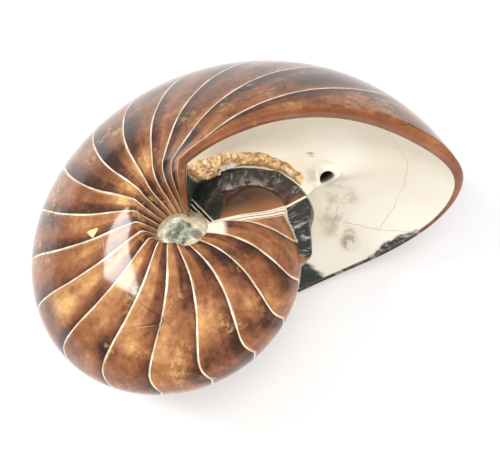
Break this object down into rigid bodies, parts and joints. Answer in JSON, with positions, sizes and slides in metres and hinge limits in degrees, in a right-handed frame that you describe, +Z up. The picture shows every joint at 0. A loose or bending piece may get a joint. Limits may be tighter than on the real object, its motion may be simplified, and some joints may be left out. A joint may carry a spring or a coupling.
{
  "type": "fossil nautilus",
  "caption": "Polished fossil nautilus coil lying on its flank, open at the hollow face of its last septum, with a granular calcite crust inside.",
  "frame": {"origin": "centre of the bounding box at the level of the surface that the shell lies on", "axes": "+Z up from the resting surface, +X along the longest side, with the open end of the coil towards +X and facing -Y"},
  "size_m": [0.1404, 0.1104, 0.0767],
  "materials": {
    "polished_calcite": "glossy brown and amber calcite with cream septum lines; ivory septum in the opening",
    "granular_calcite": "golden sugary crystals, dull"
  },
  "bodies": {
    "root": {"nautilus_shell": "polished_calcite", "calcite_crust": "granular_calcite"}
  },
  "joints": []
}
